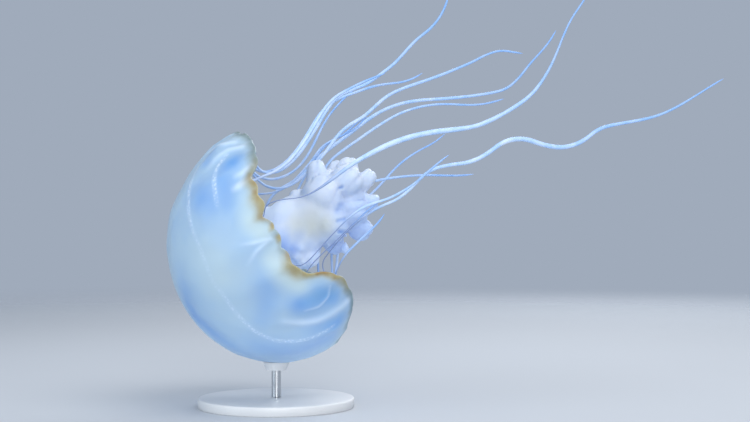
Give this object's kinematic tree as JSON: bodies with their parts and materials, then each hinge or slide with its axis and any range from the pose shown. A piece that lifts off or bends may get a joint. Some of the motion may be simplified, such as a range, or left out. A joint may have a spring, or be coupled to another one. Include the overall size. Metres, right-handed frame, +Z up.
{
  "type": "jellyfish",
  "caption": "Jellyfish model with a domed bell, scalloped margin, four frilled oral arms and sixteen trailing tentacles, held on a round stand.",
  "frame": {"origin": "Middle of the underside of the stand's base, on the floor.", "axes": "+Z up; +X towards the side that the bell opens to and the tentacles trail to; -Y the near side, which the picture shows."},
  "size_m": [0.3495, 0.1532, 0.2686],
  "materials": {
    "bell": "translucent moist flesh, milky pale blue with ochre margin",
    "arms": "soft white moist frills",
    "tentacle": "pale blue white, moist, slightly translucent",
    "stand_paint": "satin light grey paint",
    "stand_steel": "brushed"
  },
  "bodies": {
    "root": {"bell_crown": "bell", "bell_skirt_1": "bell", "bell_skirt_2": "bell", "bell_skirt_3": "bell", "bell_skirt_4": "bell", "bell_skirt_5": "bell", "bell_skirt_6": "bell", "bell_skirt_7": "bell", "bell_skirt_8": "bell", "manubrium": "arms", "oral_arm_near_upper": "arms", "oral_arm_far_upper": "arms", "oral_arm_near_lower": "arms", "oral_arm_far_lower": "arms", "tentacle_1_inner": "tentacle", "tentacle_1_outer": "tentacle", "tentacle_2_inner": "tentacle", "tentacle_2_outer": "tentacle", "tentacle_3_inner": "tentacle", "tentacle_3_outer": "tentacle", "tentacle_4_inner": "tentacle", "tentacle_4_outer": "tentacle", "tentacle_5_inner": "tentacle", "tentacle_5_outer": "tentacle", "tentacle_6_inner": "tentacle", "tentacle_6_outer": "tentacle", "tentacle_7_inner": "tentacle", "tentacle_7_outer": "tentacle", "tentacle_8_inner": "tentacle", "tentacle_8_outer": "tentacle", "tentacle_9_inner": "tentacle", "tentacle_9_outer": "tentacle", "tentacle_10_inner": "tentacle", "tentacle_10_outer": "tentacle", "tentacle_11_inner": "tentacle", "tentacle_11_outer": "tentacle", "tentacle_12_inner": "tentacle", "tentacle_12_outer": "tentacle", "tentacle_13_inner": "tentacle", "tentacle_13_outer": "tentacle", "tentacle_14_inner": "tentacle", "tentacle_14_outer": "tentacle", "tentacle_15_inner": "tentacle", "tentacle_15_outer": "tentacle", "tentacle_16_inner": "tentacle", "tentacle_16_outer": "tentacle", "stand_base": "stand_paint", "stand_rod": "stand_steel", "stand_saddle": "stand_paint"}
  },
  "joints": []
}
